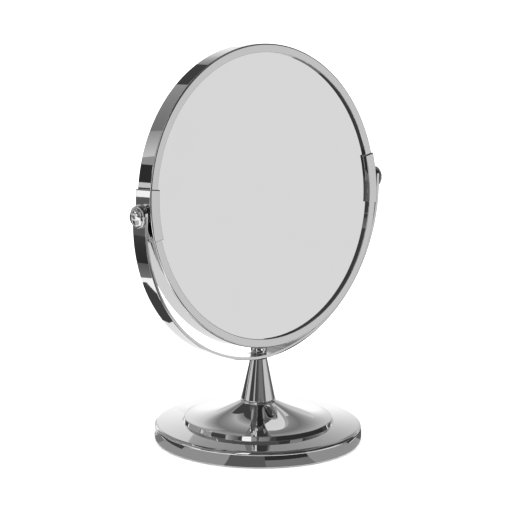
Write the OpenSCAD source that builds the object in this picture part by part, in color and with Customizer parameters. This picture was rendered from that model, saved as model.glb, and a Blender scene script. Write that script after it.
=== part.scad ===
// Two-sided round table mirror: weighted base, conical stem, U-shaped yoke and a head that turns over.
// Millimetres. +Z is up, X runs along the pivots, and the plane glass faces -Y.
// The origin is on the table, at the middle of the base.

/* [Head] */
// Outside diameter of the rim
rim_d = 180; // [140:1:220]
// Depth of the rim, from front face to back face
rim_depth = 12.3; // [12:0.1:16]
// Width of the flat bezel round each glass
bezel_w = 5.2; // [4.4:0.1:8]
// Thickness of the rim strip
rim_t = 0.8; // [0.5:0.1:1]
// Depth of the lip that runs from the bezel down to the glass
lip_depth = 1.95; // [1.4:0.05:2.1]
// Thickness of each glass
glass_t = 2; // [1.5:0.1:2.2]
// Depth of the hollow in the magnifying glass
hollow_depth = 3.05; // [0.5:0.05:3.1]
// Thickness of the card behind the plane glass
card_t = 0.5; // [0.3:0.1:0.6]
// Width of the spacer ring between the glasses
spacer_w = 4; // [3:0.5:12]
// Backward lean of the head as it stands
head_lean = 7; // [-30:1:30]

/* [Rim clips] */
// Length of each clip, measured round the rim
clip_len = 31; // [20:1:40]
// Thickness of the clip strip
clip_t = 0.75; // [0.5:0.05:1]

/* [Pivots] */
// Diameter of the pivot screws
screw_d = 4; // [3:0.1:4.8]
// Outside diameter of the threaded boss on each nut plate
boss_d = 6; // [5.6:0.1:7]
// How far the boss stands proud of the clip
boss_proud = 0.3; // [0.2:0.05:0.6]
// Thickness of the nut plates
nut_plate_t = 1.1; // [0.8:0.1:1.5]
// Length of the nut plates, up and down
nut_plate_len = 12; // [8:1:13]
// Width of the nut plates, front to back
nut_plate_w = 8; // [6:0.5:9]
// Thickness of the flange on each pivot bush
bush_flange_t = 1.1; // [0.8:0.1:2]
// Diameter of the flange on each pivot bush
bush_flange_d = 9.6; // [8:0.2:11]
// Diameter of the bush where it passes through the yoke
bush_d = 6; // [5.6:0.1:7]
// Thickness of the spring washers
spring_t = 0.5; // [0.3:0.1:1]
// Diameter of the spring washers
spring_d = 10; // [8:0.5:11]
// Diameter of each knob at its flange
knob_d = 13; // [11.6:0.2:18]
// Diameter of each knob's dome
dome_d = 11.2; // [9:0.2:11.4]
// Length of each knob up to the top of its dome
knob_len = 3.7; // [3.5:0.1:7]
// Diameter of the ball on the end of each knob
ball_d = 2.9; // [2:0.1:4]

/* [Yoke] */
// Width of the yoke strip
yoke_w = 11.2; // [9.6:0.1:16]
// Thickness of the yoke strip
yoke_t = 1.9; // [1.2:0.1:3]
// Distance from the pivots down to the middle of the yoke's arc
yoke_drop = 4.3; // [3.8:0.1:20]
// Height of the middle of each rounded end above the pivot
yoke_end_rise = 1.6; // [0:0.1:4]
// Width of the flat seat at the bottom of the yoke
seat_w = 13; // [12.4:0.2:16]

/* [Stem] */
// Height of the stem
stem_h = 25.5; // [15:0.5:80]
// Diameter of the stem at its foot
stem_foot_d = 21; // [14:0.5:21]
// Diameter of the stem at its top
stem_top_d = 10.2; // [9:0.1:12]
// Diameter of the tie rod
rod_d = 6; // [4:0.5:6]
// Height of the cap nut above the yoke
cap_nut_h = 4.4; // [3.4:0.1:4.6]
// Diameter of the cap nut above the yoke
cap_nut_d = 9.9; // [9:0.1:11.5]
// Thickness of the lock washer under the cap nut
lock_washer_t = 0.6; // [0.4:0.1:0.7]
// Thickness of the thrust washer between stem and yoke
thrust_washer_t = 0.45; // [0.3:0.05:1]

/* [Base] */
// Diameter of the base
base_d = 125; // [104:1:160]
// Height of the straight side of the base
side_h = 7.3; // [6:0.1:12]
// Radius of the rounded shoulder above the side
shoulder_r = 2.2; // [1:0.1:3]
// Diameter of the step ring at its foot
step_d = 91; // [70:1:96]
// Height of the sloping top between shoulder and step ring
apron_h = 1.3; // [0.4:0.1:3]
// Height of the step ring
step_h = 2.85; // [1.5:0.05:5]
// Height of the concave flare, from the step ring up to the neck
flare_h = 9.8; // [6:0.1:20]
// How far the flare sags below a straight line
flare_sag = 1.9; // [0.5:0.1:2.6]
// Thickness of the base shell
shell_t = 1; // [0.6:0.1:1.4]
// Thickness of the anti-slip pad
pad_t = 1.3; // [1.1:0.1:3]
// Width of the anti-slip pad
pad_w = 8; // [4:0.5:20]
// Thickness of the plate that closes the base
plate_t = 0.8; // [0.5:0.1:1.5]

/* [Fit] */
// Radial clearance of parts that turn on each other
run_gap = 0.05; // [0.03:0.01:0.1]
// Clearance between flat faces that slide on each other
face_gap = 0.05; // [0.02:0.01:0.1]
// Clearance round parts that are fixed in place
fixed_gap = 0.05; // [0.02:0.01:0.1]

/* [Hidden] */
$fn = 96;
LEFT = -1;
RIGHT = 1;

// Base, from the table upwards
base_r = base_d / 2;
lip_w = 2.5;                                      // inward curl at the bottom of the shell
lip_z = pad_t - shell_t + 0.2;                    // bottom of the shell, just clear of the table
plate_z = lip_z + shell_t;                        // the closing plate lies on the curl
weight_z = plate_z + plate_t;
side_top = lip_z + side_h;
shoulder_top = side_top + shoulder_r;
step_r = step_d / 2;
step_in = 1;                                      // how far the step ring leans inwards
step_foot_z = shoulder_top + apron_h;
step_top_z = step_foot_z + step_h;
neck_round = 1.1;                                 // rounded edge at the top of the neck
neck_r = stem_foot_d / 2 + 0.2;
flare_top_z = step_top_z + flare_h;
neck_z = flare_top_z + neck_round;
pad_r = base_r - lip_w - 1.7;                     // outside of the anti-slip pad
plate_r = base_r - shell_t - 0.2;
weight_gap = 0.4;                                 // air between the ballast and the shell

// Lower end of the rod, inside a pocket in the ballast
rod_r = rod_d / 2;
pocket_r = 9;
pocket_h = 7.4;
washer_r = 7.5;
washer_t = 1.2;
hex_h = 5;
hex_across = 10;                                  // across the flats
hex_r = hex_across / 2 / cos(30);
rod_tail = 0.4;                                   // rod showing below the nut
pocket_top = weight_z + pocket_h;
rod_z = pocket_top - washer_t - hex_h - rod_tail;

// Stem and the stack that holds the yoke
stem_top_z = neck_z + stem_h;
yoke_z = stem_top_z + thrust_washer_t + face_gap; // underside of the yoke
seat_z = yoke_z + yoke_t;
cap_nut_z = seat_z + face_gap + lock_washer_t;
rod_top_z = cap_nut_z + cap_nut_h - 1.1;

// Head
rim_r = rim_d / 2;
half_depth = rim_depth / 2;
bezel_r = rim_r - bezel_w;
face_y = half_depth - lip_depth;                  // outer face of each glass
strip_gap = nut_plate_t + 0.6;                    // room for the nut plates outside the glasses
glass_r = rim_r - rim_t - strip_gap;
rim_round = rim_t;                                // outer corners of the rim
slit = 0.3;                                       // gap between the halves of the rim, under the clips

// Clips and pivots, as distances from the middle plane
clip_in = rim_r + fixed_gap;
clip_r = clip_in + clip_t;
boss_r = boss_d / 2;
boss_end = clip_r + boss_proud;
bush_x = boss_end + face_gap;
yoke_in = bush_x + bush_flange_t;                 // inside radius of the yoke
yoke_out = yoke_in + yoke_t;
knob_x = yoke_out + spring_t + face_gap;
ball_x = knob_x + knob_len - 0.05;
screw_r = screw_d / 2;
screw_tail_x = glass_r + 0.25;
screw_head_x = ball_x - ball_d / 2 - 0.15;       // end of the screw, inside the knob
pivot_z = seat_z + yoke_in + yoke_drop;

// Points of an arc: centre, radius, first and last angle, number of steps
function arc(c, r, a, b, n) = [for (i = [0:n]) let (t = a + (b - a) * i / n) [c[0] + r * cos(t), c[1] + r * sin(t)]];

// A hollow curve from p down to q that sags below the straight line between them
function sagging(p, q, sag, n) = [for (i = [0:n]) let (t = i / n) p + (q - p) * t - [0, 4 * sag * t * (1 - t)]];

// Outer surface of the base, from the neck out and down to the table
function base_outline() = concat(
  arc([neck_r - neck_round, neck_z - neck_round], neck_round, 90, 0, 5),
  sagging([neck_r + 0.1, flare_top_z - 0.2], [step_r - step_in, step_top_z], flare_sag, 14),
  [[step_r, step_foot_z]],
  arc([base_r - shoulder_r, side_top], shoulder_r, 90, 0, 6),
  [[base_r, lip_z]]);

function shifted(points, d) = [for (p = points) p + d];
function reversed(points) = [for (i = [len(points) - 1:-1:0]) points[i]];

// Depth of the hollow face of the magnifying glass at radius r, which meets the corner of the lip
function hollow_y(r) = face_y - fixed_gap - hollow_depth * (1 - pow(r / (bezel_r + rim_t), 2));

// Frame of the head: its middle at the pivots, leaning back
module head_place() { translate([0, 0, pivot_z]) rotate([-head_lean, 0, 0]) children(); }

// Turns a profile of radius and depth about the head's own axis, with +depth towards the back
module head_turn(angle = 360) { rotate([-90, 0, 0]) rotate_extrude(angle = angle, $fn = 180) children(); }

// Turns a pivot part about X: its profile's height is the distance out from the middle plane
module pivot_turn(side) { translate([0, 0, pivot_z]) rotate([0, side * 90, 0]) rotate_extrude($fn = 48) children(); }

// A round bar or hole along X, between two distances from the middle plane
module pivot_bar(side, r, from, to) {
  rotate([0, side * 90, 0]) translate([0, 0, from]) cylinder(r = r, h = to - from, $fn = 48);
}

// A flat ring: hole radius, outer radius and thickness
module ring(inner, outer, t) {
  difference() {
    cylinder(r = outer, h = t);
    translate([0, 0, -1]) cylinder(r = inner, h = t + 2);
  }
}

module base_pad() { color("dimgray") ring(pad_r - pad_w, pad_r, pad_t); }

module base_plate() { color("silver") translate([0, 0, plate_z]) ring(pocket_r, plate_r, plate_t); }

module base_weight() {
  outer_r = base_r - shell_t - weight_gap;
  lower_top = side_top - shell_t - weight_gap;
  upper_r = step_r - step_in - shell_t - weight_gap;
  upper_top = step_foot_z - shell_t - weight_gap;
  hub_r = neck_r - neck_round - shell_t - 0.1;
  hub_top = neck_z - shell_t;
  color("dimgray") rotate_extrude() polygon([
    [rod_r + 0.2, pocket_top], [pocket_r, pocket_top], [pocket_r, weight_z], [outer_r, weight_z],
    [outer_r, lower_top], [upper_r, lower_top + 1], [upper_r, upper_top], [hub_r + 4, upper_top],
    [hub_r, upper_top + 3], [hub_r, hub_top], [rod_r + 0.2, hub_top]]);
}

module base_shell() {
  outer = base_outline();
  inner = shifted(outer, [-shell_t, -shell_t]);
  lip = [[base_r - lip_w, lip_z], [base_r - lip_w, plate_z], [base_r - shell_t, plate_z]];
  wall = [for (p = inner) if (p[1] > plate_z) p];
  color("lightsteelblue") rotate_extrude($fn = 180) polygon(concat(
    [[rod_r + 0.2, neck_z]], outer, lip, reversed(wall), [[rod_r + 0.2, neck_z - shell_t]]));
}

module rod_nut() {
  color("silver") translate([0, 0, pocket_top - washer_t - hex_h]) difference() {
    cylinder(r = hex_r, h = hex_h, $fn = 6);
    translate([0, 0, -1]) cylinder(r = rod_r + fixed_gap, h = hex_h + 2);
  }
}

module rod_washer() {
  color("silver") translate([0, 0, pocket_top - washer_t]) ring(rod_r + 0.2, washer_r, washer_t);
}

module tie_rod() { color("silver") translate([0, 0, rod_z]) cylinder(r = rod_r, h = rod_top_z - rod_z); }

module stem() {
  foot_r = stem_foot_d / 2;
  color("lightsteelblue") translate([0, 0, neck_z]) rotate_extrude() polygon([
    [rod_r + 0.2, 0], [foot_r - 0.4, 0], [foot_r, 0.5], [stem_top_d / 2, stem_h], [rod_r + 0.2, stem_h]]);
}

module thrust_washer() {
  color("dimgray") translate([0, 0, stem_top_z]) ring(rod_r + run_gap, stem_top_d / 2 - 0.1, thrust_washer_t);
}

module lock_washer() {
  color("silver") translate([0, 0, seat_z + face_gap]) ring(rod_r + fixed_gap, cap_nut_d / 2 - 0.1, lock_washer_t);
}

module yoke_nut() {
  nut_r = cap_nut_d / 2;
  low = 0.5;                                      // rounding of the lower edge
  high = 1.2;                                     // rounding of the upper edge
  color("lightsteelblue") translate([0, 0, cap_nut_z]) difference() {
    rotate_extrude() polygon(concat([[0, 0]], arc([nut_r - low, low], low, -90, 0, 4),
      arc([nut_r - high, cap_nut_h - high], high, 0, 90, 6), [[0, cap_nut_h]]));
    translate([0, 0, -1]) cylinder(r = rod_r + fixed_gap, h = rod_top_z - cap_nut_z + 1.1);
  }
}

// One arm of the yoke above the arc, with its rounded end
module yoke_arm(side) {
  translate([side > 0 ? yoke_in : -yoke_out, -yoke_w / 2, pivot_z - yoke_drop])
    cube([yoke_t, yoke_w, yoke_drop + yoke_end_rise]);
  translate([0, 0, pivot_z + yoke_end_rise]) pivot_bar(side, yoke_w / 2, yoke_in, yoke_out);
}

module yoke() {
  arc_z = pivot_z - yoke_drop;
  color("lightsteelblue") difference() {
    union() {
      translate([0, yoke_w / 2, arc_z]) rotate([90, 0, 0]) difference() {
        cylinder(r = yoke_out, h = yoke_w, $fn = 240);
        translate([0, 0, -1]) cylinder(r = yoke_in, h = yoke_w + 2, $fn = 240);
        translate([-yoke_out - 1, 0, -1]) cube([2 * yoke_out + 2, yoke_out + 1, yoke_w + 2]);
      }
      translate([-seat_w / 2, -yoke_w / 2, yoke_z]) cube([seat_w, yoke_w, yoke_t]);
      yoke_arm(LEFT);
      yoke_arm(RIGHT);
    }
    translate([-seat_w / 2, -yoke_w, seat_z]) cube([seat_w, 2 * yoke_w, yoke_t]);
    translate([0, 0, yoke_z - 1]) cylinder(r = rod_r + run_gap, h = yoke_t + 2);
    for (side = [LEFT, RIGHT])
      translate([0, 0, pivot_z]) pivot_bar(side, bush_d / 2 + fixed_gap, yoke_in - 1, yoke_out + 1);
  }
}

module pivot_bush(side) {
  bore = screw_r + run_gap;
  color("dimgray") pivot_turn(side) polygon([
    [bore, bush_x], [bush_flange_d / 2, bush_x], [bush_flange_d / 2, yoke_in], [bush_d / 2, yoke_in],
    [bush_d / 2, yoke_out - 0.1], [bore, yoke_out - 0.1]]);
}

// A sprung ring, split at the top
module spring_washer(side) {
  color("silver") difference() {
    pivot_turn(side) translate([screw_r + run_gap, yoke_out]) square([spring_d / 2 - screw_r - run_gap, spring_t]);
    translate([side * (yoke_out + spring_t / 2), 0, pivot_z + spring_d / 4 + screw_r / 2])
      cube([spring_t + 2, 0.8, spring_d / 2], center = true);
  }
}

// Section of the rim: strip, two bezels and two lips
module rim_section() {
  translate([rim_r - rim_t, -half_depth + rim_round]) square([rim_t, rim_depth - 2 * rim_round]);
  for (face = [-1, 1]) {
    translate([rim_r - rim_round, face * (half_depth - rim_round)]) circle(r = rim_round, $fn = 32);
    translate([bezel_r, face > 0 ? half_depth - rim_t : -half_depth]) square([bezel_w - rim_round, rim_t]);
    translate([bezel_r, face > 0 ? face_y : -half_depth]) square([rim_t, lip_depth]);
  }
}

// Half of the rim. It stops short of the middle line, and is notched for both bosses
module rim_half(up) {
  trim = asin(slit / 2 / rim_r);
  color("lightsteelblue") head_place() difference() {
    rotate([0, up ? -180 + trim : trim, 0]) head_turn(180 - 2 * trim) rim_section();
    for (side = [LEFT, RIGHT]) pivot_bar(side, boss_r + fixed_gap, bezel_r - 1, rim_r + 1);
  }
}

// Section of a clip: it wraps the rim and both lips
module clip_section() {
  out_y = half_depth + fixed_gap + clip_t;
  lip_r = bezel_r - fixed_gap - clip_t;
  lip_y = face_y + 0.15;
  translate([clip_in, -out_y]) square([clip_t, 2 * out_y]);
  for (face = [-1, 1]) {
    translate([lip_r, face > 0 ? out_y - clip_t : -out_y]) square([clip_r - lip_r, clip_t]);
    translate([lip_r, face > 0 ? lip_y : -out_y]) square([clip_t, out_y - lip_y]);
  }
}

module clip(side) {
  half = clip_len / 2 / clip_r * 180 / PI;
  color("lightsteelblue") head_place() difference() {
    rotate([0, (side > 0 ? 0 : 180) - half, 0]) head_turn(2 * half) clip_section();
    pivot_bar(side, boss_r + fixed_gap, rim_r - 2, clip_r + 1);
  }
}

module nut_plate(side) {
  plate_x = glass_r + 0.2;
  color("goldenrod") head_place() difference() {
    union() {
      translate([side * (plate_x + nut_plate_t / 2), 0, 0])
        cube([nut_plate_t, nut_plate_w, nut_plate_len], center = true);
      pivot_bar(side, boss_r, plate_x + nut_plate_t / 2, boss_end);
    }
    pivot_bar(side, screw_r + run_gap, plate_x - 1, boss_end + 1);
  }
}

module front_glass() {
  color("gainsboro") head_place() head_turn() translate([0, -face_y]) square([glass_r, glass_t]);
}

module backing_card() {
  color("tan") head_place() head_turn() translate([0, -face_y + glass_t]) square([glass_r, card_t]);
}

module spacer_ring() {
  inner_r = glass_r - spacer_w;
  card_y = -face_y + glass_t + card_t;
  far_y = hollow_y(inner_r) - glass_t - 0.1;
  color("ivory") head_place() head_turn() translate([inner_r, card_y]) square([spacer_w, far_y - card_y]);
}

module rear_glass() {
  hollow = [for (i = [0:16]) let (r = glass_r * i / 16) [r, hollow_y(r)]];
  color("gainsboro") head_place() head_turn() polygon(concat(hollow, reversed(shifted(hollow, [0, -glass_t]))));
}

module pivot_screw(side) {
  color("silver") translate([0, 0, pivot_z]) pivot_bar(side, screw_r, screw_tail_x, screw_head_x);
}

// Domed knob with a rounded flange and a ball end, bored for the screw
module knob(side) {
  flange_t = 1.3;
  edge = flange_t / 2;
  dome_r = dome_d / 2;
  dome_h = knob_len - flange_t;
  bore = screw_r + fixed_gap;
  dome = [for (t = [0:10:90]) [max(dome_r * cos(t), 0), knob_x + flange_t + dome_h * sin(t)]];
  color("lightsteelblue") union() {
    pivot_turn(side) polygon(concat(
      [[bore, knob_x]], arc([knob_d / 2 - edge, knob_x + edge], edge, -90, 90, 8), dome,
      [[0, screw_head_x + fixed_gap], [bore, screw_head_x + fixed_gap]]));
    translate([side * ball_x, 0, pivot_z]) sphere(d = ball_d, $fn = 32);
  }
}

base_pad();
base_plate();
base_weight();
base_shell();
rod_nut();
rod_washer();
tie_rod();
stem();
thrust_washer();
lock_washer();
yoke_nut();
yoke();
pivot_bush(LEFT);  // left_pivot_bush
pivot_bush(RIGHT);  // right_pivot_bush
spring_washer(LEFT);  // left_spring_washer
spring_washer(RIGHT);  // right_spring_washer
rim_half(true);  // upper_rim
rim_half(false);  // lower_rim
clip(LEFT);  // left_clip
clip(RIGHT);  // right_clip
nut_plate(LEFT);  // left_nut_plate
nut_plate(RIGHT);  // right_nut_plate
front_glass();
backing_card();
spacer_ring();
rear_glass();
pivot_screw(LEFT);  // left_pivot_screw
pivot_screw(RIGHT);  // right_pivot_screw
knob(LEFT);  // left_knob
knob(RIGHT);  // right_knob
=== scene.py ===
"""A round table mirror with two faces: weighted base, conical stem, U-shaped yoke and a head that turns over.

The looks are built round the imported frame. Lengths are metres, +Z is up, X runs along the pivots and the
plane glass faces -Y. Sizes are read from the frame's boxes where they give them. The others are fields here.
"""

import logging
import math
from dataclasses import dataclass, field
from enum import Enum
from typing import Callable, Mapping, Sequence, Union

import bmesh
import bpy
from mathutils import Matrix, Vector


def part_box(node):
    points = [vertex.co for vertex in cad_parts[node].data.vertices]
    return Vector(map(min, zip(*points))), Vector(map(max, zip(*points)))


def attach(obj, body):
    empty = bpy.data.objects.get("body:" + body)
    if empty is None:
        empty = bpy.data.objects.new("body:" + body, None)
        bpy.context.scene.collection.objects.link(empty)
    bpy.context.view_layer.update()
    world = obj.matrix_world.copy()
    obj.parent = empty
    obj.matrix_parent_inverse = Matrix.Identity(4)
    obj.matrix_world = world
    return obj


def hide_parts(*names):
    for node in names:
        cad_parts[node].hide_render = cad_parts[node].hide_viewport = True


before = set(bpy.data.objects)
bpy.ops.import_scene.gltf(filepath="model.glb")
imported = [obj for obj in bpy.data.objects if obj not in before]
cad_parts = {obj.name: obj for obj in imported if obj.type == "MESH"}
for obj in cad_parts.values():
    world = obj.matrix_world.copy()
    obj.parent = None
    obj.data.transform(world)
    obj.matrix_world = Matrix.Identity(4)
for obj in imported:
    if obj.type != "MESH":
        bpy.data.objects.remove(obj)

LOG = logging.getLogger("mirror")
MM = 0.001
WELD = 1e-6                                # points closer than this are one
SMOOTH = math.radians(32)                  # faces that meet at less than this shade as one surface
FULL_TURN = math.tau
FADE_ROWS = 8                              # rows of a card that fades across
CARD_STEP = math.radians(4)                # longest step round a card
GLOW = "glow"                              # the attribute that holds a card's brightness

Object = bpy.types.Object
Material = bpy.types.Material
Outline = list[Vector]
Value = Union[float, Sequence[float], "Wire"]


class Side(Enum):
    """Left and right of the mirror, as it faces the user."""

    LEFT = -1
    RIGHT = 1

    @property
    def word(self) -> str:
        """The side's name as the CAD nodes spell it."""
        return self.name.lower()

    def along_x(self, height: float) -> Matrix:
        """Places a part that was turned about +Z so that its axis points outwards along X at this height."""
        return Matrix.Translation((0, 0, height)) @ Matrix.Rotation(self.value * math.pi / 2, 4, "Y")


@dataclass(frozen=True)
class Box:
    """The box of a CAD node at rest."""

    low: Vector
    high: Vector

    @classmethod
    def of(cls, node: str) -> "Box":
        """The box of the CAD node with this name."""
        return cls(*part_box(node))

    @property
    def radius(self) -> float:
        """Half the width of the box, which is the radius of a part that is turned about Z."""
        return (self.high.x - self.low.x) / 2

    @property
    def height(self) -> float:
        """How tall the box is."""
        return self.high.z - self.low.z


@dataclass(frozen=True)
class Corner:
    """A corner of an outline.

    Args:
        u: Distance from the axis.
        v: Distance along the axis.
        radius: Radius that rounds the corner, or 0 for a sharp one.
        steps: Number of edges along the rounding.
    """

    u: float
    v: float
    radius: float = 0.0
    steps: int = 6


def rounded(corners: Sequence[Corner], margin: float = 0.1 * MM) -> Outline:
    """Rounds the corners of a closed outline.

    Each rounding has one more point just before and just after it, so that the straight stretches stay flat
    when the surface is shaded smooth.

    Args:
        corners: The corners in order.
        margin: How far the extra points stand from a rounding.

    Returns:
        The points of the outline as (distance from the axis, 0, distance along it).
    """
    points: Outline = []
    for index, corner in enumerate(corners):
        here = Vector((corner.u, 0, corner.v))
        if corner.radius <= 0:
            points.append(here)
            continue
        before, after = corners[index - 1], corners[(index + 1) % len(corners)]
        back = (Vector((before.u, 0, before.v)) - here).normalized()
        on = (Vector((after.u, 0, after.v)) - here).normalized()
        half = back.angle(on) / 2
        reach = corner.radius / math.tan(half)
        centre = here + (back + on).normalized() * (corner.radius / math.sin(half))
        spoke = here + back * reach - centre
        axis = spoke.cross(here + on * reach - centre).normalized()
        turn = math.pi - 2 * half
        points.append(here + back * (reach + margin))
        points += [
            centre + Matrix.Rotation(turn * step / corner.steps, 3, axis) @ spoke
            for step in range(corner.steps + 1)
        ]
        points.append(here + on * (reach + margin))
    return points


def profile(*points: tuple[float, float]) -> Outline:
    """An outline through points given as (distance from the axis, distance along it)."""
    return [Vector((u, 0, v)) for u, v in points]


def arc(centre: tuple[float, float], radius: float, start: float, end: float, steps: int) -> Outline:
    """Points of an arc in the outline plane.

    Args:
        centre: Distance from the axis and along it.
        radius: Radius of the arc.
        start: First angle in degrees, from outwards towards up.
        end: Last angle in degrees.
        steps: Number of edges.

    Returns:
        The points, both ends included.
    """
    angles = [math.radians(start + (end - start) * step / steps) for step in range(steps + 1)]
    return profile(*((centre[0] + radius * math.cos(a), centre[1] + radius * math.sin(a)) for a in angles))


class Bench:
    """The modelling steps, each on one object, with Blender's own mesh operators."""

    @staticmethod
    def pick(obj: Object) -> None:
        """Selects this object alone and makes it the active one."""
        bpy.ops.object.select_all(action="DESELECT")
        obj.select_set(True)
        bpy.context.view_layer.objects.active = obj

    @staticmethod
    def edit(obj: Object) -> None:
        """Opens the object's mesh with all of it selected."""
        Bench.pick(obj)
        bpy.ops.object.mode_set(mode="EDIT")
        bpy.ops.mesh.select_mode(type="VERT")
        bpy.ops.mesh.select_all(action="SELECT")

    @staticmethod
    def settle(obj: Object) -> None:
        """Puts the object's place, turn and scale into its points, which leaves it at the origin."""
        Bench.pick(obj)
        bpy.ops.object.transform_apply(location=True, rotation=True, scale=True)

    @staticmethod
    def close(obj: Object) -> None:
        """Leaves the open mesh and settles the object."""
        bpy.ops.object.mode_set(mode="OBJECT")
        Bench.settle(obj)

    @staticmethod
    def named(name: str) -> Object:
        """Names the object that was just added."""
        obj = bpy.context.active_object
        obj.name = name
        obj.data.name = name
        return obj

    @staticmethod
    def trace(name: str, points: Sequence[Vector]) -> Object:
        """Draws a line through points.

        Args:
            name: Name of the new object.
            points: The points in order.

        Returns:
            An object with one chain of edges: a plane merged to a point, then extruded from point to point.
        """
        bpy.ops.object.select_all(action="DESELECT")
        bpy.ops.mesh.primitive_plane_add(size=MM, location=points[0])
        obj = Bench.named(name)
        Bench.edit(obj)
        bpy.ops.mesh.merge(type="CENTER")
        for start, end in zip(points, points[1:]):
            bpy.ops.mesh.extrude_vertices_move(TRANSFORM_OT_translate={"value": end - start})
        Bench.close(obj)
        return obj

    @staticmethod
    def turn(
        name: str, outline: Sequence[Vector], steps: int = 96, start: float = 0.0, angle: float = FULL_TURN
    ) -> Object:
        """Turns an outline about the Z axis into a closed solid.

        Args:
            name: Name of the new object.
            outline: Points of the section. It is closed to its first point unless both ends are on the axis.
            steps: Number of faces round the turn.
            start: Angle at which the turn starts, from +X towards +Y.
            angle: How far it turns. Less than a full turn gets flat ends.

        Returns:
            The solid, with its faces pointing outwards.
        """
        on_axis = outline[0].x < WELD and outline[-1].x < WELD
        chain = list(outline) if on_axis else [*outline, outline[0]]
        spun = Matrix.Rotation(start, 3, "Z")
        obj = Bench.trace(name, [spun @ point for point in chain])
        Bench.edit(obj)
        bpy.ops.mesh.remove_doubles(threshold=WELD)
        bpy.ops.mesh.select_all(action="SELECT")
        bpy.ops.mesh.spin(steps=steps, angle=-angle, center=(0, 0, 0), axis=(0, 0, 1))
        bpy.ops.mesh.select_all(action="SELECT")
        bpy.ops.mesh.remove_doubles(threshold=WELD)
        if angle < FULL_TURN:
            bpy.ops.mesh.fill_holes(sides=0)
        bpy.ops.mesh.normals_make_consistent(inside=False)
        Bench.close(obj)
        return obj

    @staticmethod
    def choose(obj: Object, wanted: Callable[[Vector], bool]) -> None:
        """Selects, in an open mesh, only the points whose place passes the test."""
        mesh = bmesh.from_edit_mesh(obj.data)
        for vertex in mesh.verts:
            vertex.select = wanted(vertex.co)
        mesh.select_flush(True)
        mesh.select_flush(False)
        bmesh.update_edit_mesh(obj.data)

    @staticmethod
    def modify(obj: Object, kind: str, settings: Mapping[str, object]) -> None:
        """Adds a modifier of this kind, gives it its settings and applies it."""
        Bench.pick(obj)
        modifier = obj.modifiers.new(kind.lower(), kind)
        for key, value in settings.items():
            setattr(modifier, key, value)
        bpy.ops.object.modifier_apply(modifier=modifier.name)

    @staticmethod
    def bevel(obj: Object, width: float, segments: int, angle: float = 30.0) -> None:
        """Rounds the edges that turn by more than this angle, in degrees."""
        limit = {"limit_method": "ANGLE", "angle_limit": math.radians(angle)}
        Bench.modify(obj, "BEVEL", {"width": width, "segments": segments, **limit})

    @staticmethod
    def combine(obj: Object, other: Object, operation: str = "DIFFERENCE") -> None:
        """Cuts the object with another solid, or keeps what they share, and discards the other one."""
        Bench.modify(obj, "BOOLEAN", {"operation": operation, "object": other, "solver": "EXACT"})
        bpy.data.objects.remove(other)

    @staticmethod
    def bar(radius: float, start: Vector, end: Vector) -> Object:
        """A round cutter between two points."""
        bpy.ops.object.select_all(action="DESELECT")
        run = end - start
        middle = (start + end) / 2
        bpy.ops.mesh.primitive_cylinder_add(vertices=64, radius=radius, depth=run.length, location=middle)
        cutter = Bench.named("cutter")
        cutter.rotation_mode = "QUATERNION"
        cutter.rotation_quaternion = run.to_track_quat("Z", "Y")
        Bench.settle(cutter)
        return cutter

    @staticmethod
    def place(obj: Object, matrix: Matrix) -> None:
        """Moves the object's points by a matrix, and leaves the object at the origin."""
        obj.matrix_world = matrix
        Bench.settle(obj)

    @staticmethod
    def smooth(obj: Object) -> None:
        """Shades the object smooth, with its sharp edges kept."""
        Bench.pick(obj)
        bpy.ops.object.shade_smooth_by_angle(angle=SMOOTH)
        bpy.ops.object.select_all(action="DESELECT")


class Wire:
    """A shader output that takes part in sums: each operator adds a Math node to its board."""

    def __init__(self, board: "Board", socket: bpy.types.NodeSocket) -> None:
        """Wraps one output socket of a board's node."""
        self.board = board
        self.socket = socket

    def _math(self, operation: str, first: Value, second: Value) -> "Wire":
        """Adds one Math node and returns its result."""
        node = self.board.add("ShaderNodeMath", {"operation": operation}, {0: first, 1: second})
        return Wire(self.board, node.outputs[0])

    def __add__(self, other: Value) -> "Wire":
        """Sum."""
        return self._math("ADD", self, other)

    __radd__ = __add__

    def __mul__(self, other: Value) -> "Wire":
        """Product."""
        return self._math("MULTIPLY", self, other)

    __rmul__ = __mul__


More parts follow.
